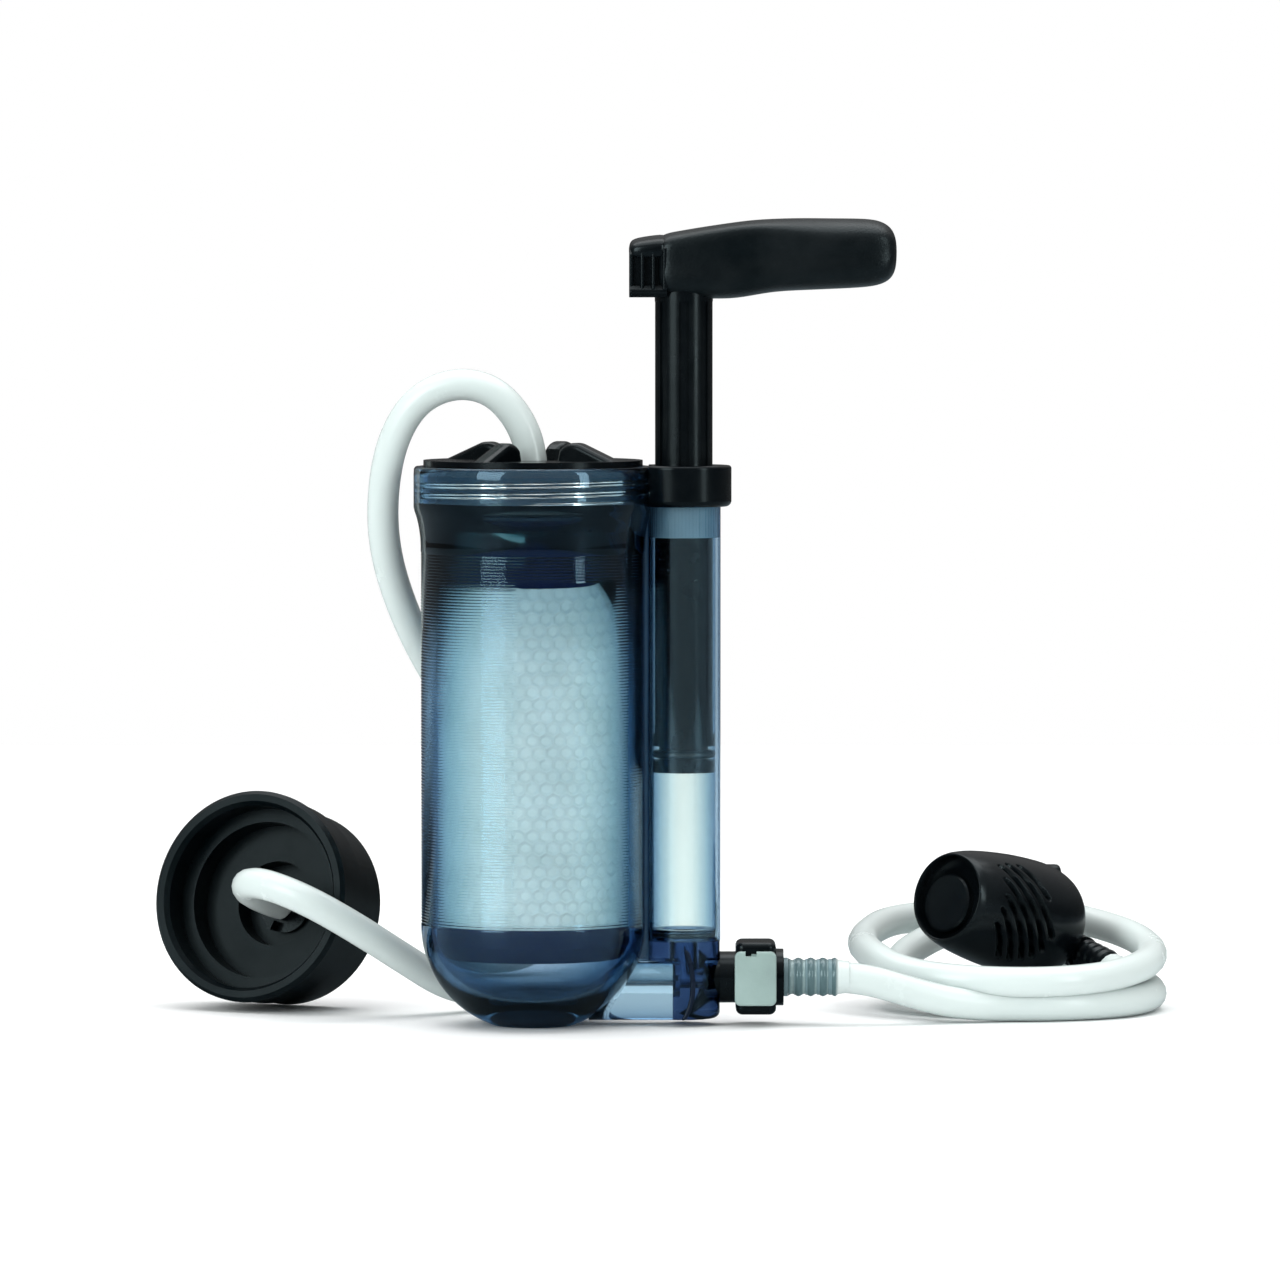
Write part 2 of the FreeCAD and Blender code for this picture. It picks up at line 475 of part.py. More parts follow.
def make_intake_hose():
    """Lead-in from the coupler, then the coil as one solid: a low band, a tilted upper turn, the tail."""
    lead = hose(INTAKE_ROUTE, "intake lead-in")
    beyond = box((INTAKE_SPLIT_X, -20, -5), (140, 30, 30))
    socket = revolve([(0, 64.5), (5.3, 64.5), (5.3, 77.4), (HOSE_R, 80.2), (HOSE_R, 80.4), (0, 80.4)])
    socket.rotate(V(0, 0, 0), Y, 90)
    socket.translate(V(0, 0, PORT_Z))
    parts["intake_hose"] = lead.cut(beyond).fuse(socket).cut(parts["coupler_insert"])
    outer, inner = COIL_RADIUS + HOSE_R, COIL_RADIUS - HOSE_R
    band = ring(outer, COIL_INNER_RADIUS - HOSE_R, 0, HOSE_D, COIL_X, COIL_Y)
    upper = ring(outer, inner, HOSE_D, 40, COIL_X, COIL_Y)
    tilt = math.degrees(math.atan((COIL_BACK_TOP - COIL_FRONT_TOP) / (2 * outer)))
    lid = box((COIL_X - 60, COIL_Y - outer, COIL_FRONT_TOP), (COIL_X + 60, COIL_Y + 60, 90))
    lid.rotate(V(COIL_X, COIL_Y - outer, COIL_FRONT_TOP), X, tilt)
    barb_end = BARB_ROOT + unit(BARB_POINTS) * BARB_LENGTH
    tail = hose(TAIL_ROUTE + [tuple(barb_end)], "intake tail")
    coil = band.fuse(upper.cut(lid)).fuse(lead.common(beyond)).fuse(tail)
    coil = coil.cut(box((0, -60, -20), (300, 200, 0)))
    parts["intake_coil"] = coil.cut(parts["prefilter_barb"]).cut(parts["prefilter_housing"]).removeSplitter()


def unit(vector):
    return V(vector).normalize()


# ---- prefilter -----------------------------------------------------------------------------

def make_prefilter():
    """Egg-shaped strainer with a recessed round face, slots on both flanks and a hose barb."""
    length = PREFILTER_LENGTH
    outside = [(0, 0), (11.4, 0), (12.3, -2.0), (13.5, -9.0), (14.4, -18.0), (14.7, -26.0), (14.2, -33.0),
               (12.6, -38.5), (10.0, -42.0), (7.0, -length), (0, -length)]
    inside = [(0, -6.0), (9.8, -6.0), (11.3, -10.0), (12.4, -18.0), (12.7, -26.0), (12.0, -33.0),
              (10.2, -38.0), (0, -39.5)]
    shell = revolve(outside).cut(revolve(inside))
    shell = shell.cut(rod(RECESS_R, -RECESS_DEPTH, 1)).cut(rod(6.0, -8, 0, *DISC_OFFSET))
    for i, (low, high) in enumerate(SLOT_ANGLES):
        near = SLOT_START - i * SLOT_PITCH
        for side in (0, 180):
            slot = revolve([(9, near), (16, near), (16, near - SLOT_WIDTH), (9, near - SLOT_WIDTH)], high - low)
            slot.rotate(V(0, 0, 0), Z, low + side)
            shell = shell.cut(slot)
    shell = placed(shell, PREFILTER_AT, PREFILTER_FACES)
    peg = Part.makeCone(3.2, 2.4, 14, V(123.0, 61.3, 32.6), V(0.93, 0.25, 0.05))
    barb_axis = unit(BARB_POINTS)
    boss = Part.makeCylinder(4.6, 7.0, BARB_ROOT - barb_axis * 7.0, barb_axis)
    cavity = placed(revolve(inside), PREFILTER_AT, PREFILTER_FACES)
    shell = shell.fuse(peg.cut(cavity)).fuse(boss.cut(cavity))
    spigot = Part.makeCylinder(2.6, 8.0, BARB_ROOT - barb_axis * 8.0, barb_axis)
    housing = shell.cut(spigot)
    floor, face = -RECESS_DEPTH, -RECESS_DEPTH + 2.0
    disc = revolve([(0, floor), (DISC_R, floor), (DISC_R, face - 0.4), (DISC_R - 0.5, face), (0, face)])
    disc = disc.fuse(rod(5.9, -8.0, floor))
    disc.translate(V(*DISC_OFFSET, 0))
    parts["prefilter_disc"] = placed(disc, PREFILTER_AT, PREFILTER_FACES)
    screen = ring(8.6, 7.9, -34.0, -8.5)
    parts["prefilter_screen"] = placed(screen, PREFILTER_AT, PREFILTER_FACES)
    barb = [(1.4, 0), (4.6, 0), (4.6, 1.2), (3.2, 1.2)]
    for tooth in range(4):
        base = 2.4 + tooth * 3.0
        barb += [(3.3, base), (4.3, base + 0.4), (4.0, base + 1.6), (3.2, base + 2.2)]
    barb += [(3.2, BARB_LENGTH), (1.4, BARB_LENGTH)]
    nipple = revolve(barb).fuse(ring(2.55, 1.4, -5.0, 0))
    nipple = placed(nipple, BARB_ROOT, BARB_POINTS).removeSplitter()
    parts["prefilter_barb"] = nipple
    parts["prefilter_housing"] = housing.cut(nipple).removeSplitter()


# ---- bottle adapter ------------------------------------------------------------------------

def make_adapter():
    """Stepped rubber cup whose narrow back seats in a bottle's mouth, with a hub for the hose."""
    rim, barrel, back = ADAPTER_RIM_R, ADAPTER_BARREL_R, ADAPTER_BACK_R
    outside = [(0, 0), (rim - 1.0, 0), (rim, -1.0), (rim, -2.8), (barrel, -3.6), (barrel, -13.0),
               (back, -13.8), (back, -ADAPTER_DEPTH + 1.5), (back - 1.5, -ADAPTER_DEPTH), (0, -ADAPTER_DEPTH)]
    cup = revolve(outside)
    for radius, floor in ((23.7, -8.4), (20.3, -15.6), (11.0, -HUB_DEPTH)):
        cup = cup.cut(rod(radius, floor, 2))
    cup = cup.cut(revolve([(0, 0.5), (25.0, 0.5), (23.6, -1.6), (0, -1.6)]))
    cup = cup.cut(rod(3.6, -ADAPTER_DEPTH - 1, -HUB_DEPTH + 1))
    parts["bottle_adapter"] = placed(cup, ADAPTER_AT, ADAPTER_FACES)
    hub = revolve([(1.8, -ADAPTER_DEPTH), (3.6, -ADAPTER_DEPTH), (3.6, -HUB_DEPTH), (7.0, -HUB_DEPTH),
                   (7.0, -HUB_DEPTH + 1.6), (2.6, -HUB_DEPTH + 1.6), (2.6, -18.0), (3.1, -18.0),
                   (2.6, -15.5), (3.1, -15.5), (2.6, -13.0), (1.8, -13.0)])
    for i in range(4):
        fin = box((3.9, -0.5, -HUB_DEPTH + 1.6), (7.0, 0.5, -HUB_DEPTH + 5.0))
        fin.rotate(V(0, 0, 0), Z, 45 + 90 * i)
        hub = hub.fuse(fin.cut(rod(4.4, -30, 0)))
    parts["adapter_hub"] = placed(hub, ADAPTER_AT, ADAPTER_FACES).removeSplitter()


make_housing()
make_cap()
make_cartridge()
make_outlet_stem()
make_pump_body()
make_plunger()
make_handle()
make_base()
make_coupler()
make_prefilter()
make_intake_hose()
make_adapter()
parts["outlet_hose"] = hose(OUTLET_ROUTE, "outlet hose")
save_all()
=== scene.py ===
import math
import bpy
from mathutils import Matrix, Vector


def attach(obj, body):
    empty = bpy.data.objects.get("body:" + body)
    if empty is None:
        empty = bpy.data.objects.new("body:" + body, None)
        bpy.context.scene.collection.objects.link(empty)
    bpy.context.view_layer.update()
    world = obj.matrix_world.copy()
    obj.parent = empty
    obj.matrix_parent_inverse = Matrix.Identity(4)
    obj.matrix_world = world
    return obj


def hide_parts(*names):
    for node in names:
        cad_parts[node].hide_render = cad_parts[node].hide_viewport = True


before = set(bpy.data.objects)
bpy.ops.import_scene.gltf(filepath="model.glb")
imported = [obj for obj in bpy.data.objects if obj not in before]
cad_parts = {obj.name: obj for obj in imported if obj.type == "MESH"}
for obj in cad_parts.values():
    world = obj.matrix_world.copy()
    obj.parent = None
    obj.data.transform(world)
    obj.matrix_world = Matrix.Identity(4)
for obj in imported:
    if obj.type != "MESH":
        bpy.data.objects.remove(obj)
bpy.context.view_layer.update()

# Lengths are in millimetres, and turned into metres where a mesh or curve is made. The camera's and the
# lights' places are in metres, as are a material's coordinates.
MM = 0.001

# The part's driving sizes
BODY_R, INNER_R, NECK_R, NECK_BORE_R = 28.4, 26.2, 30.17, 28.0
DOME_TOP, DOME_BEND, DOME_INNER_BEND = 25.5, 26.8, 20.5
BODY_TOP, NECK_TOP, NECK_FLOOR = 121.5, 141.4, 125.5
PUMP_X = 38.05
PORT_Z = 12.1
HOSE_R = 3.95
COIL_X, COIL_Y = 122.0, 45.0


# ---- shader nodes --------------------------------------------------------------------------

def node(tree, kind, **values):
    """A new shader node. Names with an underscore for a space set inputs, others set properties."""
    made = tree.nodes.new(kind)
    for key, value in values.items():
        label = key.replace("_", " ")
        if label in made.inputs:
            made.inputs[label].default_value = value
        else:
            setattr(made, key, value)
    return made


def mixed(tree, factor, first, second, blend="MIX"):
    """A colour that goes from first to second as factor goes from 0 to 1. Each is a socket or a value."""
    mix = node(tree, "ShaderNodeMix", data_type="RGBA", blend_type=blend)
    for value, socket in ((factor, mix.inputs["Factor"]), (first, mix.inputs[6]), (second, mix.inputs[7])):
        if isinstance(value, bpy.types.NodeSocket):
            tree.links.new(value, socket)
        else:
            socket.default_value = (*value, 1.0) if isinstance(value, tuple) else value
    return mix.outputs[2]


def along(tree, place, axis, start, end, first=0.0, last=1.0):
    """A value that goes from first to last as place goes from start to end on an axis."""
    axes = tree.nodes.new("ShaderNodeSeparateXYZ")
    tree.links.new(place, axes.inputs["Vector"])
    ramp = node(tree, "ShaderNodeMapRange", From_Min=start, From_Max=end, To_Min=first, To_Max=last)
    tree.links.new(axes.outputs[axis], ramp.inputs["Value"])
    return ramp.outputs["Result"]


def object_place(tree):
    return tree.nodes.new("ShaderNodeTexCoord").outputs["Object"]


def start_material(name):
    material = bpy.data.materials.new(name)
    material.use_nodes = True
    tree = material.node_tree
    return material, tree, tree.nodes["Principled BSDF"], object_place(tree)


def paint_of(material):
    """A material's tree, its shader's colour socket and what feeds that socket now."""
    tree = material.node_tree
    socket = tree.nodes["Principled BSDF"].inputs["Base Color"]
    return tree, socket, socket.links[0].from_socket


def mottled(tree, place, color, amount, scale):
    """Colour that drifts a little lighter and darker over the surface."""
    drift = node(tree, "ShaderNodeTexNoise", Scale=scale, Detail=4.0, Roughness=0.6)
    tree.links.new(place, drift.inputs["Vector"])
    ramp = tree.nodes.new("ShaderNodeValToRGB")
    low, high = ramp.color_ramp.elements
    low.position, high.position = 0.3, 0.7
    for element, way in ((low, -1), (high, 1)):
        shifted = [c * (1 + way * amount) + way * amount * 0.02 for c in color]
        element.color = [min(1.0, max(0.0, c)) for c in shifted] + [1.0]
    tree.links.new(drift.outputs["Fac"], ramp.inputs["Fac"])
    return ramp.outputs["Color"]


def rough_and_bump(tree, shader, place, rough, spread, grain=0.0, grain_scale=1.0):
    """Uneven gloss, and a fine moulded grain."""
    smear = node(tree, "ShaderNodeTexNoise", Scale=90.0, Detail=6.0, Roughness=0.7)
    tree.links.new(place, smear.inputs["Vector"])
    level = node(tree, "ShaderNodeMapRange", From_Min=0.3, From_Max=0.7,
                 To_Min=max(0.02, rough - spread), To_Max=min(1.0, rough + spread))
    tree.links.new(smear.outputs["Fac"], level.inputs["Value"])
    tree.links.new(level.outputs["Result"], shader.inputs["Roughness"])
    if grain > 0:
        pebble = node(tree, "ShaderNodeTexNoise", Scale=grain_scale, Detail=3.0, Roughness=0.6)
        tree.links.new(place, pebble.inputs["Vector"])
        bump = node(tree, "ShaderNodeBump", Strength=grain, Distance=0.0002)
        tree.links.new(pebble.outputs["Fac"], bump.inputs["Height"])
        tree.links.new(bump.outputs["Normal"], shader.inputs["Normal"])


# ---- materials -----------------------------------------------------------------------------

BLACK = (0.002, 0.0035, 0.0045)
VINYL = (0.60, 0.66, 0.65)
# Clear plastics: colours from a wall seen face on, at 0, to a wall seen edge on, at 1
SMOKE_TINTS = [(0.0, (0.98, 1.0, 0.99)), (0.05, (0.93, 0.98, 0.97)), (0.14, (0.68, 0.84, 0.87)),
               (0.30, (0.28, 0.48, 0.61)), (0.52, (0.085, 0.205, 0.38)), (0.8, (0.03, 0.08, 0.20)),
               (1.0, (0.06, 0.13, 0.26))]
CYLINDER_TINTS = [(0.0, (0.80, 0.875, 0.865)), (0.12, (0.58, 0.71, 0.75)), (0.35, (0.34, 0.50, 0.62)),
                  (0.7, (0.06, 0.14, 0.28)), (1.0, (0.05, 0.12, 0.24))]
DUCT_TINTS = [(0.0, (0.60, 0.74, 0.80)), (0.3, (0.36, 0.52, 0.64)), (0.7, (0.12, 0.24, 0.42)),
              (1.0, (0.08, 0.16, 0.30))]
NAVY_TINTS = [(0.0, (0.34, 0.48, 0.66)), (0.4, (0.16, 0.27, 0.46)), (1.0, (0.05, 0.10, 0.22))]


def solid(name, color, rough, mottle=0.12, grain=0.15, grain_scale=2500.0, edge_wear_and_highlight=0.0, metallic=0.0,
          specular=0.5):
    """Moulded plastic or rubber: drifting colour, uneven gloss, fine grain and paler edges, partly wear and
    partly painted highlight.
    """
    material, tree, shader, place = start_material(name)
    base = mottled(tree, place, color, mottle, 60.0)
    if edge_wear_and_highlight > 0:
        # Paler convex edges: partly wear, partly a painted highlight where edges catch the light
        shape = tree.nodes.new("ShaderNodeNewGeometry")
        edge = node(tree, "ShaderNodeMapRange", From_Min=0.52, From_Max=0.62, To_Min=0.0, To_Max=edge_wear_and_highlight)
        tree.links.new(shape.outputs["Pointiness"], edge.inputs["Value"])
        worn_and_highlit = tuple(min(1.0, c * 1.6 + 0.12) for c in color)
        base = mixed(tree, edge.outputs["Result"], base, worn_and_highlit)
    tree.links.new(base, shader.inputs["Base Color"])
    rough_and_bump(tree, shader, place, rough, 0.06, grain, grain_scale)
    shader.inputs["Metallic"].default_value = metallic
    shader.inputs["Specular IOR Level"].default_value = specular
    shader.inputs["Specular Tint"].default_value = (0.80, 0.95, 1.0, 1.0)
    return material


def clear(name, tints, rough, tint, density):
    """Tinted transparent plastic. tints run from a wall seen face on to a wall seen edge on."""
    material, tree, shader, place = start_material(name)
    facing = node(tree, "ShaderNodeLayerWeight", Blend=0.5)
    ramp = tree.nodes.new("ShaderNodeValToRGB")
    while len(ramp.color_ramp.elements) < len(tints):
        ramp.color_ramp.elements.new(0.5)
    for element, (position, color) in zip(ramp.color_ramp.elements, tints):
        element.position, element.color = position, (*color, 1.0)
    tree.links.new(facing.outputs["Facing"], ramp.inputs["Fac"])
    drift = mottled(tree, place, (0.97, 0.97, 0.97), 0.02, 40.0)
    shade = mixed(tree, 1.0, ramp.outputs["Color"], drift, "MULTIPLY")
    tree.links.new(shade, shader.inputs["Base Color"])
    rough_and_bump(tree, shader, place, rough, 0.02)
    shader.inputs["Transmission Weight"].default_value = 1.0
    shader.inputs["IOR"].default_value = 1.45
    shader.inputs["Specular IOR Level"].default_value = 0.3
    shader.inputs["Specular Tint"].default_value = (0.50, 0.76, 1.0, 1.0)
    absorb = node(tree, "ShaderNodeVolumeAbsorption", Color=(*tint, 1.0), Density=density)
    tree.links.new(absorb.outputs["Volume"], tree.nodes["Material Output"].inputs["Volume"])
    return material


def smoke_plastic():
    """The housing's tinted plastic, darker in the domed end."""
    material = clear("smoke_clear", SMOKE_TINTS, 0.04, (0.20, 0.62, 0.72), 30.0)
    tree, socket, plain = paint_of(material)
    low = along(tree, object_place(tree), "Z", (DOME_TOP - 1.0) * MM, (DOME_TOP + 1.0) * MM, 1.0, 0.0)
    tree.links.new(mixed(tree, low, plain, (0.58, 0.62, 0.72), "MULTIPLY"), socket)
    return material


def cap_plastic():
    """Black above the rim, slate blue where the cap sits inside the tinted neck."""
    material = solid("cap_plastic", BLACK, 0.22, grain=0.05, specular=0.17)
    tree, socket, black = paint_of(material)
    above = along(tree, object_place(tree), "Z", (NECK_TOP - 0.3) * MM, (NECK_TOP - 0.1) * MM)
    tree.links.new(mixed(tree, above, (0.006, 0.024, 0.052), black), socket)
    return material


def milky_vinyl():
    """Soft cloudy hose wall: light spreads inside it."""
    material, tree, shader, place = start_material("milky_vinyl")
    tree.links.new(mottled(tree, place, VINYL, 0.02, 14.0), shader.inputs["Base Color"])
    rough_and_bump(tree, shader, place, 0.24, 0.05)
    shader.inputs["Subsurface Weight"].default_value = 0.35
    shader.inputs["Subsurface Radius"].default_value = (1.0, 1.0, 1.0)
    shader.inputs["Subsurface Scale"].default_value = 0.003
    shader.inputs["IOR"].default_value = 1.4
    return material


def cuff_vinyl():
    """Hose end darkened where it is stretched over the insert's ridges, and plain after them."""
    material = solid("cuff_vinyl", (0.20, 0.275, 0.28), 0.2, grain=0.0)
    tree, socket, groove = paint_of(material)
    place = object_place(tree)
    turn = 2 * math.pi / (RIDGE_PITCH * MM)
    axes = tree.nodes.new("ShaderNodeSeparateXYZ")
    phase = node(tree, "ShaderNodeMath", operation="MULTIPLY_ADD")
    phase.inputs[1].default_value, phase.inputs[2].default_value = turn, -turn * RIDGE_AT * MM
    wave = node(tree, "ShaderNodeMath", operation="COSINE")
    band = node(tree, "ShaderNodeMapRange", From_Min=-0.9, From_Max=0.0)
    tree.links.new(place, axes.inputs["Vector"])
    tree.links.new(axes.outputs["X"], phase.inputs[0])
    tree.links.new(phase.outputs["Value"], wave.inputs[0])
    tree.links.new(wave.outputs["Value"], band.inputs["Value"])
    ridged = mixed(tree, band.outputs["Result"], groove, (0.075, 0.125, 0.135))
    end = along(tree, place, "X", RIDGES_END * MM, (RIDGES_END + 0.8) * MM)
    tree.links.new(mixed(tree, end, ridged, VINYL), socket)
    return material


# ---- camera, light and floor ---------------------------------------------------------------

def make_camera():
    data = bpy.data.cameras.new("camera")
    data.lens, data.sensor_width = 234.0, 36.0
    data.clip_start, data.clip_end = 0.05, 30.0
    camera = bpy.data.objects.new("camera", data)
    bpy.context.scene.collection.objects.link(camera)
    camera.location = (0.027, -2.1, 0.20)
    aim = Vector((0.027, 0.0, 0.0975)) - camera.location
    camera.rotation_euler = aim.to_track_quat("-Z", "Y").to_euler()
    bpy.context.scene.camera = camera


def area_light(name, place, target, size, power, tint=(1, 1, 1)):
    data = bpy.data.lights.new(name, "AREA")
    data.shape, data.size, data.size_y = "RECTANGLE", size[0], size[1]
    data.energy, data.color = power, tint
    light = bpy.data.objects.new(name, data)
    bpy.context.scene.collection.objects.link(light)
    light.location = place
    light.rotation_euler = (Vector(target) - Vector(place)).to_track_quat("-Z", "Y").to_euler()


def make_light():
    """A white world to look at, and through, that lights and mirrors as a dim one, bright only above."""
    world = bpy.data.worlds.new("studio")
    bpy.context.scene.world = world
    world.use_nodes = True
    tree = world.node_tree
    place = tree.nodes.new("ShaderNodeTexCoord").outputs["Generated"]
    rise = along(tree, place, "Z", 0.15, 0.9, 0.09, 0.8)
    path = tree.nodes.new("ShaderNodeLightPath")
    seen = node(tree, "ShaderNodeMath", operation="MAXIMUM")
    strength = node(tree, "ShaderNodeMix", data_type="FLOAT")
    tree.links.new(path.outputs["Is Camera Ray"], seen.inputs[0])
    tree.links.new(path.outputs["Is Transmission Ray"], seen.inputs[1])
    tree.links.new(seen.outputs["Value"], strength.inputs["Factor"])
    tree.links.new(rise, strength.inputs["A"])
    strength.inputs["B"].default_value = 1.0
    background = tree.nodes["Background"]
    background.inputs["Color"].default_value = (1.0, 1.0, 1.0, 1.0)
    tree.links.new(strength.outputs["Result"], background.inputs["Strength"])
    cool, middle = (0.93, 1.0, 0.99), (0.02, 0, 0.10)
    area_light("overhead", (0.0, 0.20, 1.5), (0.0, 0.15, 0.0), (2.0, 1.6), 25.0)
    area_light("key", (-1.0, -1.1, 0.60), middle, (0.70, 0.9), 15.0, cool)
    area_light("fill", (1.1, -0.9, 0.50), middle, (0.25, 0.8), 6.0, cool)
    area_light("rear", (0.0, 0.5, 1.6), (0.0, 1.6, 0.7), (3.0, 0.4), 10.0)
    bpy.context.scene.view_settings.view_transform = "Standard"


def make_floor():
    """Pale floor under a white world, so that no wall stands in the way of any view."""
    half = 1.15
    corners = [(-half, -half, 0.0), (half, -half, 0.0), (half, half, 0.0), (-half, half, 0.0)]
    mesh = bpy.data.meshes.new("floor")
    mesh.from_pydata(corners, [], [(0, 1, 2, 3)])
    floor = bpy.data.objects.new("floor", mesh)
    bpy.context.scene.collection.objects.link(floor)
    paint = solid("floor_paint", (0.93, 0.93, 0.93), 0.6, mottle=0.01, grain=0.0)
    mesh.materials.append(paint)
    # What mirrors the floor sees it dim, as with a dark board in front of the lens, so blacks stay deep.
    tree, socket, pale = paint_of(paint)
    path = tree.nodes.new("ShaderNodeLightPath")
    mirrored = node(tree, "ShaderNodeMath", operation="MULTIPLY")
    tree.links.new(path.outputs["Is Glossy Ray"], mirrored.inputs[0])
    tree.links.new(path.outputs["Is Reflection Ray"], mirrored.inputs[1])
    tree.links.new(mixed(tree, mirrored.outputs["Value"], pale, (0.16, 0.20, 0.22)), socket)


# ---- cords ---------------------------------------------------------------------------------

OUTLET_ROUTE = [(0.0, 0.0, 134.0), (0.0, 0.0, 144.0), (-3.4, 0.4, 153.6), (-10.4, 1.0, 161.0),
                (-20.0, 2.0, 162.6), (-29.6, 3.4, 158.2), (-35.8, 5.4, 148.0), (-38.4, 8.4, 134.0),
                (-38.0, 13.0, 120.0), (-34.2, 19.4, 106.0), (-28.2, 27.2, 92.0), (-20.8, 33.8, 80.0),
                (-12.8, 39.4, 69.0), (-4.6, 44.2, 59.2), (2.6, 48.4, 49.4), (7.8, 51.3, 38.0),
                (8.6, 51.8, 26.0), (4.3, 48.9, 15.3), (-3.4, 43.6, 7.7), (-13.0, 37.0, 4.8),
                (-23.0, 30.2, 7.4), (-33.2, 22.6, 14.6), (-44.6, 16.8, 22.6), (-57.4, 15.0, 30.2),
                (-69.0, 20.0, 34.4), (-74.8, 30.0, 33.4), (-72.6, 42.0, 29.4), (-66.2, 51.6, 26.3)]
INTAKE_ROUTE = [(77.0, 0.0, PORT_Z), (84.0, 0.0, 11.6), (92.0, 0.6, 9.3), (101.0, 2.2, 6.4),
                (110.0, 4.6, 4.6), (119.0, 7.2, 4.1)]
TAIL_ROUTE = [(124.0, 15.6, 4.2), (133.0, 16.8, 4.9), (142.0, 20.8, 6.2), (149.2, 27.0, 7.6),
              (152.0, 35.0, 9.0), (149.0, 42.4, 10.5)]
# The coil's turns: (degrees round the coil, radius, height), and the degrees between points
COIL_TURNS = [(-72, 38.6, 4.0), (-45, 39.6, 3.95), (0, 38.0, 4.2), (60, 37.6, 10.0), (128, 38.2, 22.0),
              (180, 38.3, 17.0), (240, 39.8, 10.6), (270, 41.0, 10.0), (305, 40.0, 10.6), (345, 38.4, 13.0),
              (378, 38.0, 16.5), (405, 37.6, 20.0), (450, 36.0, 23.0), (475, 30.8, 19.0), (510, 29.6, 13.0),
              (555, 29.6, 6.5), (610, 29.8, 4.1)]
COIL_STEP = 27


def ease(t):
    return t * t * (3 - 2 * t)


def smoothstep(low, high, value):
    return ease(min(1.0, max(0.0, (value - low) / (high - low))))


def coil_points():
    """Points round the coil, with radius and height eased between those in COIL_TURNS."""
    points, angle = [], COIL_TURNS[0][0]
    while angle <= COIL_TURNS[-1][0]:
        for (a0, r0, z0), (a1, r1, z1) in zip(COIL_TURNS, COIL_TURNS[1:]):
            if a0 <= angle <= a1:
                t = ease((angle - a0) / (a1 - a0))
                r, z = r0 + (r1 - r0) * t, z0 + (z1 - z0) * t
                break
        turn = math.radians(angle)
        points.append((COIL_X + r * math.cos(turn), COIL_Y + r * math.sin(turn), z))
        angle += COIL_STEP
    return points


def hose(name, points, material, body, replaced):
    """A smooth round hose with the route's points as its spline's control points."""
    data = bpy.data.curves.new(name, "CURVE")
    data.dimensions, data.resolution_u = "3D", 12
    data.bevel_depth, data.bevel_resolution = HOSE_R * MM, 6
    data.use_fill_caps = True
    spline = data.splines.new("NURBS")
    spline.points.add(len(points) - 1)
    for point, (x, y, z) in zip(spline.points, points):
        point.co = (x * MM, y * MM, z * MM, 1.0)
    spline.order_u = 3
    spline.use_endpoint_u = True
    data.materials.append(material)
    made = bpy.data.objects.new(name, data)
    bpy.context.scene.collection.objects.link(made)
    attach(made, body)
    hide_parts(*replaced)


def make_hoses():
    vinyl = milky_vinyl()
    hose("outlet_tube", OUTLET_ROUTE, vinyl, "filter_body", ["outlet_hose"])
    hose("intake_tube", INTAKE_ROUTE + coil_points() + TAIL_ROUTE, vinyl, "intake_line",
         ["intake_hose", "intake_coil"])


# ---- meshes --------------------------------------------------------------------------------

def piece(name, verts, faces, material, body, replaced=(), smooth=True, at=None):
    """A mesh from points in millimetres that rides on a body. at moves it from its own frame."""
    mesh = bpy.data.meshes.new(name)
    mesh.from_pydata([(at @ Vector(v) if at else Vector(v)) * MM for v in verts], [], faces)
    mesh.polygons.foreach_set("use_smooth", [smooth] * len(mesh.polygons))
    mesh.materials.append(material)
    made = bpy.data.objects.new(name, mesh)
    bpy.context.scene.collection.objects.link(made)
    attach(made, body)
    if replaced:
        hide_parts(*replaced)
    return made


def skin(rings, first_cap=None, last_cap=None):
    """Quads between closed rings of points. A cap is a point that closes the first or last ring."""
    count = len(rings[0])
    verts = [p for ring in rings for p in ring]
    faces = []
    for i in range(len(rings) - 1):
        for j in range(count):
            k = (j + 1) % count
            faces.append((i * count + j, i * count + k, (i + 1) * count + k, (i + 1) * count + j))
    if first_cap is not None:
        verts.append(first_cap)
        faces += [((j + 1) % count, j, len(verts) - 1) for j in range(count)]
    if last_cap is not None:
        verts.append(last_cap)
        start = (len(rings) - 1) * count
        faces += [(start + j, start + (j + 1) % count, len(verts) - 1) for j in range(count)]
    return verts, faces


def circle(radius, z, count):
    turns = [2 * math.pi * i / count for i in range(count)]
    return [(radius * math.cos(turn), radius * math.sin(turn), z) for turn in turns]


def shaped_ring(radius_at, z, count):
    """A ring whose radius depends on the angle round it, in degrees from -180 to 180."""
    ring = []
    for i in range(count):
        degrees = 360.0 * i / count
        r, turn = radius_at(degrees if degrees <= 180 else degrees - 360), math.radians(degrees)
        ring.append((r * math.cos(turn), r * math.sin(turn), z))
    return ring


def lathe(profile, count):
    """Surface of revolution about Z from (radius, height) points, with a radius of 0 at both ends."""
    rings = [circle(r, z, count) for r, z in profile[1:-1]]
    return skin(rings, (0, 0, profile[0][1]), (0, 0, profile[-1][1]))


def arc(centre_r, centre_z, radius, start, end, steps):
    """Points on an arc of a profile, angles in degrees from the outward direction."""
    angles = [math.radians(start + (end - start) * i / steps) for i in range(steps + 1)]
    return [(centre_r + radius * math.cos(a), centre_z + radius * math.sin(a)) for a in angles]


# ---- filter housing ------------------------------------------------------------------------

# The angle on the dome's bend, in degrees, where its flat foot begins
FOOT_ANGLE = -72.1
RIB_PITCH, RIB_LOW, RIB_HIGH, RIB_DEPTH = 0.765, 25.8, 120.2, 0.22
# The smooth label window: angles round the housing in degrees, and heights
WINDOW_ANGLES, WINDOW_LOW, WINDOW_HIGH = (-97.7, -41.7), 27.5, 113.4
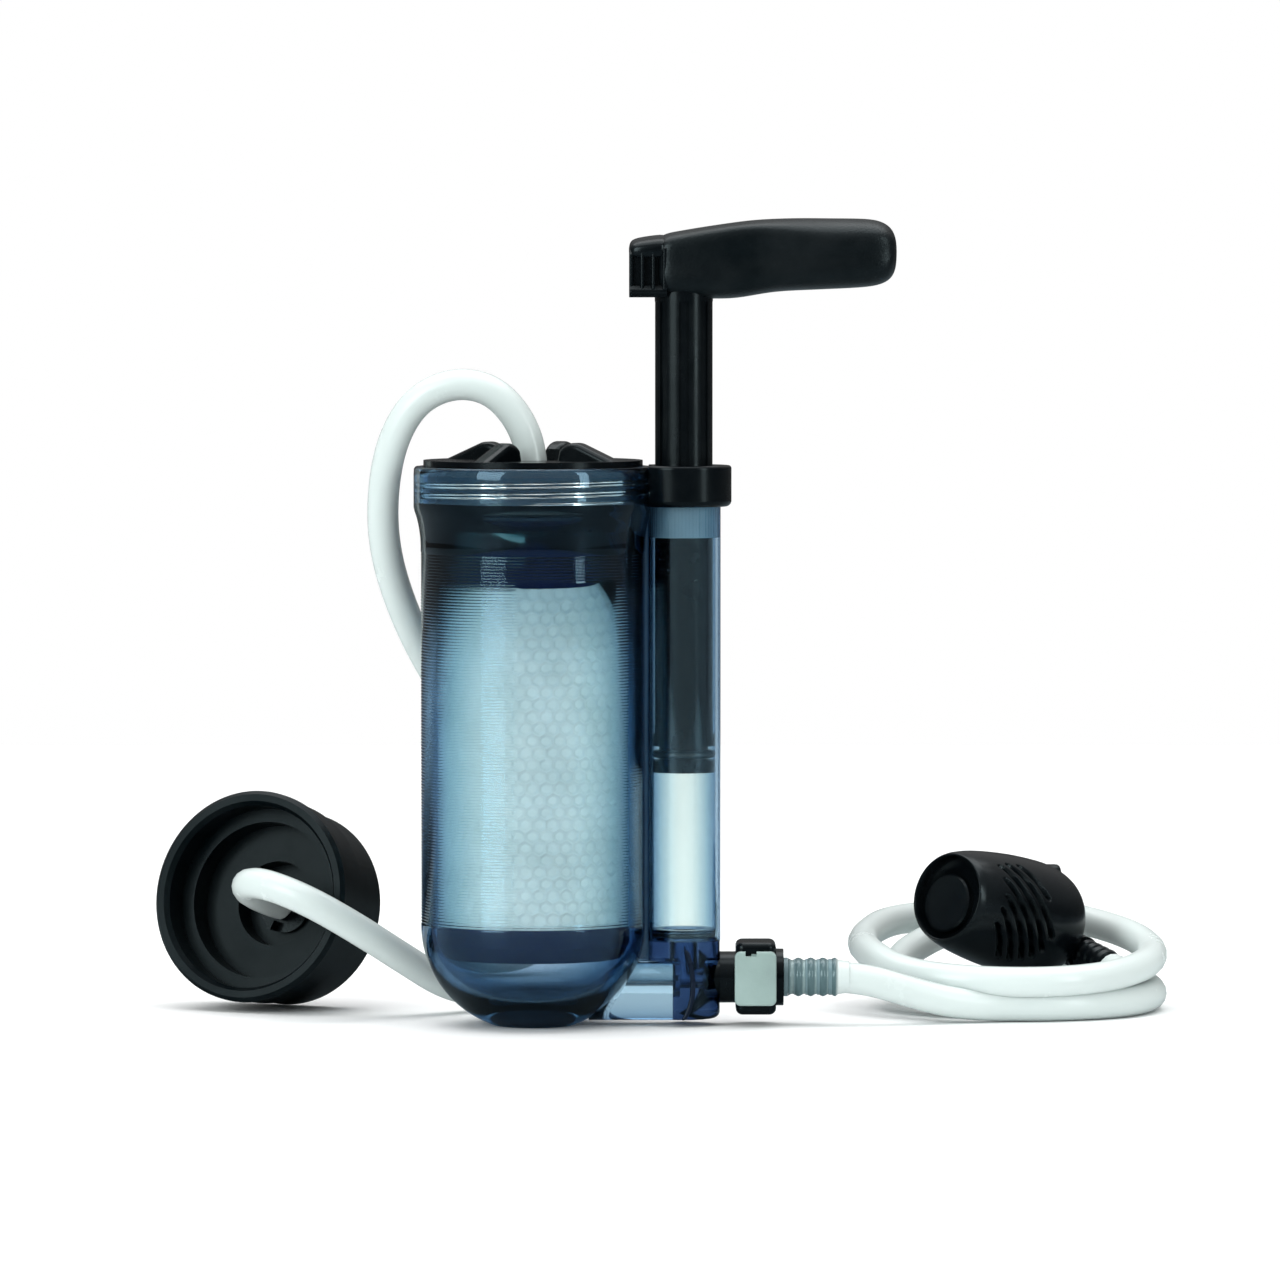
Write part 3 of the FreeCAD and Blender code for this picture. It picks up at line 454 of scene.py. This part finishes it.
# From the ribbed body out to the neck and its rim: (radius, height)
NECK_PROFILE = [(BODY_R, BODY_TOP), (28.48, 123.2), (28.68, 125.0), (29.0, 126.9), (29.45, 128.7),
                (29.95, 130.2), (NECK_R, 131.2), (NECK_R, 136.0), (NECK_R, 139.4), (NECK_R - 0.1, 140.9),
                (NECK_R - 0.5, NECK_TOP)]
THREAD_PITCH, THREAD_DEPTH, THREAD_START, THREAD_END = 2.5, 0.95, 132.9, 137.9
THREAD_ZONE_LOW, THREAD_ZONE_HIGH, SEAL_BORE_R = 132.35, 139.0, 26.95
# Room round the pump's axis that the neck keeps clear of
PUMP_ROOM_R = 9.4


def rib_depth(angle, z):
    """How deep the ribs are cut: nothing in the label window, full elsewhere."""
    if z < RIB_LOW or z > RIB_HIGH:
        return 0.0
    low, high = WINDOW_ANGLES
    in_angle = smoothstep(low - 1.2, low + 0.4, angle) * (1 - smoothstep(high - 0.4, high + 1.2, angle))
    above_foot = smoothstep(WINDOW_LOW - 0.4, WINDOW_LOW + 0.4, z)
    below_top = 1 - smoothstep(WINDOW_HIGH - 0.4, WINDOW_HIGH + 0.4, z)
    return RIB_DEPTH * (1 - in_angle * (above_foot * below_top))


def clear_of_pump(x, y):
    """Push a point of the neck out of the pump cylinder's place."""
    dx = x - PUMP_X
    away = math.hypot(dx, y)
    if away >= PUMP_ROOM_R:
        return x, y
    return PUMP_X + dx * PUMP_ROOM_R / away, y * PUMP_ROOM_R / away


def outer_wall(count):
    """Rings up the outside: dome, ribbed body, widening and neck."""
    dome = arc(BODY_R - DOME_BEND, DOME_TOP, DOME_BEND, FOOT_ANGLE, 0, 30)
    rings = [circle(r, z, count) for r, z in dome]
    per_rib = 4
    for i in range(int((RIB_HIGH - RIB_LOW) / RIB_PITCH) * per_rib + 1):
        z = RIB_LOW + i * RIB_PITCH / per_rib
        wave = (1 - math.cos(2 * math.pi * i / per_rib)) / 2
        rings.append(shaped_ring(lambda angle: BODY_R - rib_depth(angle, z) * wave, z, count))
    for r, z in NECK_PROFILE:
        rings.append([(*clear_of_pump(x, y), z) for x, y, z in circle(r, z, count)])
    return rings


def threaded_ring(z, count):
    """A ring of the neck's bore, with the thread's crest where it passes."""
    fade = (smoothstep(THREAD_ZONE_LOW, THREAD_START, z)
            * (1 - smoothstep(THREAD_END, THREAD_END + 0.6, z)))
    ring = []
    for j in range(count):
        phase = ((z - THREAD_START) / THREAD_PITCH - j / count) % 1.0
        off = min(phase, 1 - phase) * THREAD_PITCH
        crest = 1 - smoothstep(0.28, 0.62, off)
        r, turn = NECK_BORE_R - THREAD_DEPTH * crest * fade, 2 * math.pi * j / count
        ring.append((r * math.cos(turn), r * math.sin(turn), z))
    return ring


def inner_wall(count):
    """Rings down the inside: threaded bore, sealing bore, body bore and floor."""
    rings = [circle(NECK_BORE_R + 0.3, NECK_TOP, count), circle(NECK_BORE_R, NECK_TOP - 0.4, count)]
    steps = 40
    for i in range(steps + 1):
        z = THREAD_ZONE_HIGH - (THREAD_ZONE_HIGH - THREAD_ZONE_LOW) * i / steps
        rings.append(threaded_ring(z, count))
    bores = [(SEAL_BORE_R, 132.3), (SEAL_BORE_R, NECK_FLOOR), (INNER_R, NECK_FLOOR), (INNER_R, 75.0),
             (INNER_R, DOME_TOP)]
    bores += arc(INNER_R - DOME_INNER_BEND, DOME_TOP, DOME_INNER_BEND, -3, -90, 24)
    return rings + [circle(r, z, count) for r, z in bores]


def make_housing(material):
    count = 192
    rings = outer_wall(count) + inner_wall(count)
    verts, faces = skin(rings, (0, 0, 0), (0, 0, DOME_TOP - DOME_INNER_BEND))
    piece("housing_shell", verts, faces, material, "filter_body", ["filter_housing"])


# ---- honeycomb sleeve ----------------------------------------------------------------------

SLEEVE_LOW, SLEEVE_HIGH, SLEEVE_R, SLEEVE_WALL, SLEEVE_STEP = 25.55, 110.75, 24.15, 0.62, 0.42
CELLS_AROUND, CELL_DISH = 44, 0.55


def cell_dish(column_place, row_place, pitch, row_pitch):
    """How deep a point of the sleeve lies in the nearest hexagonal cell."""
    nearest = math.inf
    middle = math.floor(row_place + 0.5)
    for row in (middle - 1, middle, middle + 1):
        shift = 0.5 if row % 2 else 0.0
        column = round(column_place - shift) + shift
        du, dv = (column_place - column) * pitch, (row_place - row) * row_pitch
        nearest = min(nearest, max(abs(du), abs(du) * 0.5 + abs(dv) * 0.866))
    return CELL_DISH * (1 - smoothstep(0.34 * pitch, 0.47 * pitch, nearest))


def make_honeycomb(material):
    """Protective sleeve round the pleats, moulded in a honeycomb of shallow cells."""
    pitch = 2 * math.pi * SLEEVE_R / CELLS_AROUND
    row_pitch = pitch * math.sqrt(3) / 2
    per_cell = 8
    count, steps = CELLS_AROUND * per_cell, int((SLEEVE_HIGH - SLEEVE_LOW) / SLEEVE_STEP)
    rings = []
    for i in range(steps + 1):
        z = SLEEVE_LOW + (SLEEVE_HIGH - SLEEVE_LOW) * i / steps
        ring = []
        for j in range(count):
            r = SLEEVE_R - cell_dish(j / per_cell, (z - SLEEVE_LOW) / row_pitch, pitch, row_pitch)
            turn = 2 * math.pi * j / count
            ring.append((r * math.cos(turn), r * math.sin(turn), z))
        rings.append(ring)
    rings.append(circle(SLEEVE_R - SLEEVE_WALL, SLEEVE_HIGH, count))
    rings.append(circle(SLEEVE_R - SLEEVE_WALL, SLEEVE_LOW, count))
    rings.append(rings[0])
    verts, faces = skin(rings)
    piece("honeycomb_sleeve", verts, faces, material, "filter_body", ["mesh_sleeve"])


# ---- joint between housing and pump --------------------------------------------------------

WEB_HALF, WEB_LOW, WEB_HIGH = 1.6, 16.7, 130.4


def make_web(material):
    """The rib that joins the housing's wall to the pump cylinder along its length."""
    rings = []
    for z in (WEB_LOW, 17.0, 18.5, 20.0, 22.0, 24.0, 26.0, 60.0, 100.0, 130.0, WEB_HIGH):
        drop = max(0.0, DOME_TOP - z)
        inner = BODY_R - DOME_BEND + math.sqrt(DOME_BEND ** 2 - drop ** 2) - 0.5
        half = [(inner, WEB_HALF), (28.4, WEB_HALF), (29.2, WEB_HALF + 0.3), (29.7, WEB_HALF + 0.5)]
        rings.append([(x, -y, z) for x, y in half] + [(x, y, z) for x, y in reversed(half)])
    verts, faces = skin(rings, (28.4, 0, WEB_LOW), (28.7, 0, WEB_HIGH))
    piece("cylinder_web", verts, faces, material, "filter_body", smooth=False)


SEAM_R, SEAM_LOW, SEAM_MIDDLE, SEAM_HIGH = 0.42, 1.9, 10.4, 19.6
# The valve block's round outside, which the seam is sunk into
BLOCK_R, SEAM_SUNK = 9.15, 0.25


def seam_x(z):
    """The seam bows out at its middle and turns back towards its foot."""
    x = 40.3 - 1.7 * ((z - SEAM_MIDDLE) / (SEAM_HIGH - SEAM_MIDDLE)) ** 2
    return x - (0.9 * ((SEAM_MIDDLE - z) / (SEAM_MIDDLE - SEAM_LOW)) ** 3 if z < SEAM_MIDDLE else 0.0)


def make_seam(material):
    """Dark joint line that curves down both sides of the valve block."""
    steps = 36
    heights = [SEAM_HIGH - (SEAM_HIGH - SEAM_LOW) * i / steps for i in range(steps + 1)]
    for side, name in ((-1, "block_seam_front"), (1, "block_seam_back")):
        rings, middles = [], []
        for i, z in enumerate(heights):
            x, width = seam_x(z), SEAM_R * (1.6 if 0 < i < steps else 0.6)
            y = side * math.sqrt(max(0.0, BLOCK_R ** 2 - (x - PUMP_X) ** 2)) - side * SEAM_SUNK
            turns = [side * 2 * math.pi * k / 12 for k in range(12)]
            rings.append([(x + width * math.cos(a), y + side * SEAM_R * math.sin(a), z) for a in turns])
            middles.append((x, y, z))
        (x0, _, z0), (x1, y1, z1) = middles[0], middles[-1]
        verts, faces = skin(rings, (x0, y1, z0 + 0.1), (x1, y1, z1 - 0.1))
        piece(name, verts, faces, material, "filter_body")


# ---- hose cuff -----------------------------------------------------------------------------

CUFF_START, CUFF_END, CUFF_WALL = 64.5, 80.0, 0.3
RIDGE_PITCH, RIDGE_AT, RIDGE_HEIGHT, RIDGES_END = 3.1, 67.1, 0.60, 76.4


def make_cuff(material):
    """End of the intake hose, stretched thin over the insert's ridges."""
    profile, steps = [], 80
    for i in range(steps + 1):
        x = CUFF_START + (CUFF_END - CUFF_START) * i / steps
        ridge = RIDGE_HEIGHT * (0.5 + 0.5 * math.cos(2 * math.pi * (x - RIDGE_AT) / RIDGE_PITCH))
        ridged = 1 - smoothstep(RIDGES_END, RIDGES_END + 1.0, x)
        stretch = 0.30 * (1 - smoothstep(77.0, CUFF_END, x))
        profile.append((HOSE_R + 0.06 + stretch + ridge * ridged, x))
    profile += [(r - CUFF_WALL, x) for r, x in reversed(profile)]
    rings = [[(x, b, PORT_Z + a) for a, b, _ in circle(r, 0, 72)] for r, x in profile]
    rings.append(rings[0])
    verts, faces = skin(rings)
    piece("hose_cuff", verts, faces, material, "intake_line")


# ---- prefilter -----------------------------------------------------------------------------

PREFILTER_AT, PREFILTER_FACES = Vector((105.8, 32.0, 29.9)), Vector((-0.685, -0.69, 0.234))
# (distance behind the mouth, radius)
PREFILTER_PROFILE = [(0.0, 11.3), (0.5, 11.6), (2.0, 12.2), (6.0, 13.2), (12.0, 14.1), (19.0, 14.8),
                     (26.0, 15.1), (32.0, 15.0), (37.0, 14.1), (40.5, 12.4), (42.8, 9.6), (43.9, 5.5),
                     (44.1, 0.0)]
BARREL_END, TAIL_END, PREFILTER_END = 40.5, 44.05, 44.1
RECESS_R, RECESS_DEPTH = 10.85, 4.6
# Slots run down the flank and backwards: (offset along the body, highest and lowest angle)
SLOTS = [(-6.8, -70, -103), (-2.8, -52, -101), (1.3, -37, -95), (5.1, -18, -88), (9.0, 0, -78),
         (13.0, 4, -62), (17.0, 4, -25)]
SLOT_SLANT, SLOT_HALF, SLOT_DEPTH = 0.21, 1.05, 2.4
# Small turned pieces on the shell: name, foot, direction and (radius, height) profile
PREFILTER_TURNED = [
    ("prefilter_peg", (123.0, 61.3, 32.6), (0.93, 0.25, 0.05),
     [(0, 0), (3.3, 0.0), (3.0, 6.0), (2.6, 12.6), (2.45, 13.4), (2.1, 13.8), (0, 13.9)]),
    ("prefilter_boss", (138.0, 60.9, 14.9), (0.5, -0.84, -0.2),
     [(0, 0), (4.7, 0.0), (4.6, 3.0), (4.5, 6.6), (4.1, 7.0), (0, 7.0)])]


def between(points, value):
    """Smooth curve through (position, value) points."""
    for i in range(len(points) - 1):
        (a, va), (b, vb) = points[i], points[i + 1]
        if a <= value <= b:
            before, after = points[max(0, i - 1)], points[min(len(points) - 1, i + 2)]
            slope_a = (vb - before[1]) / max(1e-6, b - before[0])
            slope_b = (after[1] - va) / max(1e-6, after[0] - a)
            t, span = (value - a) / (b - a), b - a
            return (va * (2 * t ** 3 - 3 * t ** 2 + 1) + slope_a * span * (t ** 3 - 2 * t ** 2 + t)
                    + vb * (3 * t ** 2 - 2 * t ** 3) + slope_b * span * (t ** 3 - t ** 2))
    return points[-1][1]


def slot_depth(angle, s):
    """How deep the slots are cut. The same slots are on both flanks."""
    deepest = 0.0
    for turned in (angle, angle + 180, angle - 180):
        for offset, high, low in SLOTS:
            across = s + SLOT_SLANT * turned - offset
            beyond = max(0.0, turned - high, low - turned) * 0.25
            reach = math.hypot(across, beyond)
            deepest = max(deepest, 1 - smoothstep(SLOT_HALF - 0.12, SLOT_HALF + 0.12, reach))
    return deepest * SLOT_DEPTH


def placed(foot, direction):
    """The frame whose origin is at foot and whose Z runs along direction."""
    turned = Vector((0, 0, 1)).rotation_difference(Vector(direction))
    return Matrix.Translation(foot) @ turned.to_matrix().to_4x4()


def make_prefilter(material):
    count = 300
    mouth = [(RECESS_R, -RECESS_DEPTH), (RECESS_R, -2.0), (RECESS_R + 0.05, -0.25), (RECESS_R + 0.2, 0.0)]
    rings = [circle(r, z, count) for r, z in mouth]
    steps = 170
    for i in range(steps + 1):
        s = BARREL_END * i / steps
        outside = between(PREFILTER_PROFILE, s)
        rings.append(shaped_ring(lambda angle: outside - slot_depth(angle, s), -s, count))
    steps = 12
    for i in range(1, steps):
        s = BARREL_END + (TAIL_END - BARREL_END) * math.sin(math.pi / 2 * i / steps)
        rings.append(circle(max(0.6, between(PREFILTER_PROFILE, s)), -s, count))
    verts, faces = skin(rings, (0, 0, -RECESS_DEPTH), (0, 0, -PREFILTER_END))
    piece("prefilter_shell", verts, faces, material, "intake_line", ["prefilter_housing"],
          at=placed(PREFILTER_AT, PREFILTER_FACES))
    for name, foot, direction, profile in PREFILTER_TURNED:
        verts, faces = lathe(profile, 48)
        piece(name, verts, faces, material, "intake_line", at=placed(foot, direction))


# ---- handle --------------------------------------------------------------------------------

# Stations along the grip and the end block's roof:
# (x, bottom, ridge height, top, half width at the bottom, waist and ridge)
GRIP_STATIONS = [
    (31.4, 185.2, 197.0, 199.2, 5.4, 6.9, 7.0), (33.7, 184.1, 198.3, 200.4, 6.6, 8.2, 8.4),
    (36.5, 183.8, 198.8, 200.9, 6.8, 8.4, 8.6), (43.0, 183.7, 200.0, 202.0, 6.8, 8.4, 8.9),
    (50.0, 183.6, 201.2, 203.0, 6.8, 8.2, 9.1), (55.0, 184.4, 201.6, 203.7, 6.8, 8.1, 9.2),
    (61.0, 185.5, 201.5, 204.1, 6.9, 8.2, 9.3), (68.0, 185.8, 200.4, 204.4, 7.0, 8.4, 9.3),
    (75.0, 186.1, 199.7, 204.35, 7.0, 8.6, 9.3), (82.0, 186.4, 199.7, 204.35, 6.9, 8.6, 9.2),
    (87.0, 186.9, 199.9, 204.0, 6.6, 8.3, 8.9), (90.2, 188.4, 199.0, 202.2, 5.6, 7.2, 7.6),
    (91.5, 191.0, 197.6, 199.4, 3.8, 5.0, 5.2)]
ROOF_STATIONS = [
    (24.3, 194.6, 196.4, 197.2, 4.6, 5.0, 4.8), (24.7, 194.0, 197.0, 198.6, 6.6, 6.8, 6.6),
    (26.6, 193.8, 197.4, 199.3, 7.3, 7.5, 7.4), (30.0, 193.8, 197.8, 199.8, 7.7, 8.0, 7.9),
    (34.1, 193.8, 198.2, 200.3, 8.0, 8.3, 8.2)]
# The end block's plates: (x from, x to, half width, z from, z to). They are the end plate, the core, three
# upright fins round it and the foot
END_SLABS = [(24.25, 25.35, 6.9, 185.0, 196.0), (25.0, 34.0, 5.9, 185.0, 196.6),
             (27.0, 28.1, 7.5, 185.0, 196.6), (29.8, 30.9, 7.8, 185.0, 197.0),
             (32.6, 34.0, 8.0, 185.0, 197.4), (24.25, 34.0, 7.7, 184.05, 187.1)]


def mirrored_ring(x, half):
    """A closed ring from the (y, z) points of its right half, bottom to top."""
    return [(x, y, z) for y, z in half] + [(x, -y, z) for y, z in half[-2:0:-1]]


def grip_ring(x, bottom, ridge, top, low_half, waist_half, ridge_half):
    """One cross-section of the grip: flat-bottomed, drawn in below a soft ridge, crowned on top."""
    return mirrored_ring(x, [
        (0.0, bottom), (low_half * 0.6, bottom + 0.1), (low_half + 0.8, bottom + 1.4),
        (waist_half + 0.5, bottom + 4.6), (waist_half - 0.2, (bottom + ridge) / 2 + 2.0),
        (ridge_half, ridge), (ridge_half * 0.62, ridge + (top - ridge) * 0.72), (0.0, top)])


def roof_ring(x, bottom, ridge, top, low_half, waist_half, ridge_half):
    """One cross-section of the end block's roof."""
    return mirrored_ring(x, [
        (0.0, bottom), (low_half * 0.7, bottom), (low_half, bottom + 0.3),
        (waist_half, (bottom + ridge) / 2), (ridge_half, ridge),
        (ridge_half * 0.62, ridge + (top - ridge) * 0.72), (0.0, top)])


def slab(x0, x1, half, low, high):
    """An upright plate across the handle, with cut corners and eased edges."""
    corner = 1.1
    outline = [(-half + corner, low), (half - corner, low), (half, low + corner), (half, high - corner),
               (half - corner, high), (-half + corner, high), (-half, high - corner),
               (-half, low + corner)]
    rings = [[(x, y * scale, z) for y, z in outline]
             for x, scale in ((x0, 0.94), (x0 + 0.3, 1.0), (x1 - 0.3, 1.0), (x1, 0.94))]
    middle = (low + high) / 2
    return skin(rings, (x0, 0, middle), (x1, 0, middle))


def subdivide(made, levels):
    smooth = made.modifiers.new("round", "SUBSURF")
    smooth.levels = smooth.render_levels = levels


def make_handle(grip_material, core_material):
    verts, faces = skin([grip_ring(*station) for station in GRIP_STATIONS],
                        (GRIP_STATIONS[0][0], 0, 192.0), (GRIP_STATIONS[-1][0] + 0.3, 0, 195.4))
    subdivide(piece("grip_moulding", verts, faces, grip_material, "plunger",
                    ["handle_grip"]), 3)
    verts, faces = skin([roof_ring(*station) for station in ROOF_STATIONS],
                        (24.15, 0, 196.0), (34.3, 0, 197.0))
    subdivide(piece("handle_roof", verts, faces, core_material, "plunger",
                    ["handle_core"]), 2)
    verts, faces = [], []
    for sizes in END_SLABS:
        more, corners = slab(*sizes)
        faces += [tuple(i + len(verts) for i in face) for face in corners]
        verts += more
    made = piece("handle_end", verts, faces, core_material, "plunger", smooth=False)
    bevel = made.modifiers.new("soft_edges", "BEVEL")
    bevel.width, bevel.segments, bevel.limit_method = 0.25 * MM, 2, "ANGLE"


# ---- pieces and their materials ------------------------------------------------------------

def dress(material, *names):
    """Give carried-over CAD nodes a better material."""
    for name in names:
        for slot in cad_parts[name].material_slots:
            slot.material = material


def make_pieces(black, white):
    """The pieces that stand for CAD nodes, or add what the CAD leaves out."""
    grip = solid("grip_plastic", (0.003, 0.0045, 0.0055), 0.34, grain=0.5, grain_scale=1600.0,
                 specular=0.22)
    make_housing(smoke_plastic())
    make_honeycomb(white)
    make_handle(grip, black)
    make_web(solid("web_plastic", (0.07, 0.15, 0.25), 0.3))
    make_seam(solid("seam", (0.004, 0.008, 0.02), 0.3, specular=0.2))
    make_cuff(cuff_vinyl())
    make_prefilter(black)


def dress_nodes(black, white):
    dress(black, "cylinder_collar", "pump_shaft", "piston_head", "coupler_body", "prefilter_disc",
          "prefilter_barb", "adapter_hub")
    dress(white, "core_tube")
    dress(cap_plastic(), "housing_cap")
    dress(clear("water_clear", CYLINDER_TINTS, 0.03, (0.30, 0.60, 0.68), 30.0), "pump_cylinder")
    dress(clear("duct_clear", DUCT_TINTS, 0.08, (0.30, 0.55, 0.70), 60.0), "base_duct")
    dress(clear("navy_clear", NAVY_TINTS, 0.10, (0.10, 0.26, 0.46), 190.0), "valve_block")
    dress(solid("navy_plastic", (0.003, 0.010, 0.055), 0.4, specular=0.08),
          "cartridge_bottom_cap", "cartridge_top_cap", "outlet_stem")
    dress(solid("black_rubber", (0.0025, 0.0045, 0.0055), 0.33, grain=0.10, specular=0.12),
          "bottle_adapter")
    dress(solid("seal_rubber", (0.012, 0.012, 0.012), 0.3), "cap_seal", "stem_o_ring", "piston_o_ring",
          "block_o_ring", "insert_o_ring", "inlet_valve", "outlet_valve")
    dress(solid("bush_plastic", (0.20, 0.32, 0.42), 0.4), "guide_bush")
    # The latch's and the insert's paler edges are partly wear and partly painted highlight
    dress(solid("latch_plastic", (0.27, 0.36, 0.34), 0.42, edge_wear_and_highlight=0.08), "coupler_latch")
    dress(solid("insert_plastic", (0.13, 0.20, 0.22), 0.35, edge_wear_and_highlight=0.05), "coupler_insert")
    dress(solid("pleat_paper", (0.80, 0.84, 0.86), 0.8), "pleated_media")
    dress(solid("carbon", (0.03, 0.03, 0.03), 0.8, grain=0.6), "carbon_core")
    dress(solid("steel", (0.5, 0.5, 0.52), 0.3, metallic=1.0), "latch_spring", "prefilter_screen")


make_camera()
make_hoses()
make_light()
make_floor()
black_plastic = solid("black_plastic", BLACK, 0.22, grain=0.05, specular=0.17)
white_mesh = solid("white_mesh", (0.86, 0.925, 0.915), 0.5)
make_pieces(black_plastic, white_mesh)
dress_nodes(black_plastic, white_mesh)

bpy.context.view_layer.update()
